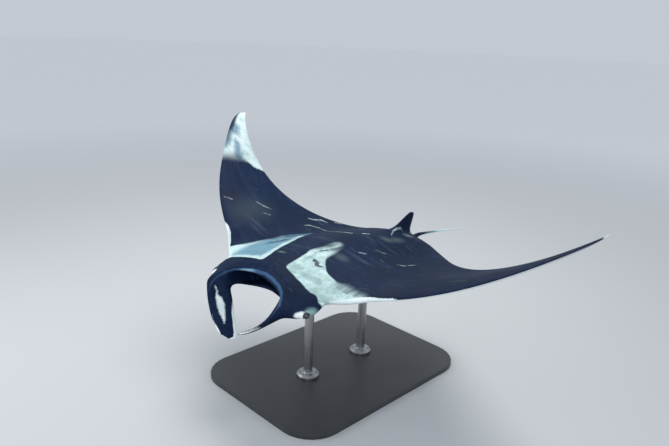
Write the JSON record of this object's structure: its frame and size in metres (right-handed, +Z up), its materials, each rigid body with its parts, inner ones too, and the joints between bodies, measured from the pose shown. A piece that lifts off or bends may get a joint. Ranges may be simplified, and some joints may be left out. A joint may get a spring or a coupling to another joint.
{
  "type": "reef manta ray display model",
  "caption": "Life-size still model of a manta ray with raised wings, open mouth and lowered cephalic fins, held over a flat base by two short rods.",
  "frame": {"origin": "middle of the whole model's bounding box in plan, at floor level under the stand base", "axes": "+X to the animal's left and along the wing span, -Y the way the animal faces, +Z up, towards its back"},
  "size_m": [2.984, 2.3148, 1.5518],
  "materials": {
    "hide": "smooth matte hide, slate black above with pale shoulder patches, white below",
    "tail_hide": "smooth matte hide, grey near the body and white along the whip",
    "eye": "wet, dark, domed eye with a pale ring",
    "base_paint": "satin charcoal paint on a flat board",
    "rod_steel": "brushed, fine turning lines"
  },
  "bodies": {
    "root": {"head": "hide", "trunk": "hide", "wing_inner_left": "hide", "wing_inner_right": "hide", "wing_outer_left": "hide", "wing_outer_right": "hide", "cephalic_fin_left": "hide", "cephalic_fin_right": "hide", "dorsal_fin": "hide", "pelvic_fin_left": "hide", "pelvic_fin_right": "hide", "tail_base": "tail_hide", "tail_whip": "tail_hide", "eye_left": "eye", "eye_right": "eye", "stand_base": "base_paint", "stand_rod_front": "rod_steel", "stand_rod_rear": "rod_steel"}
  },
  "joints": []
}
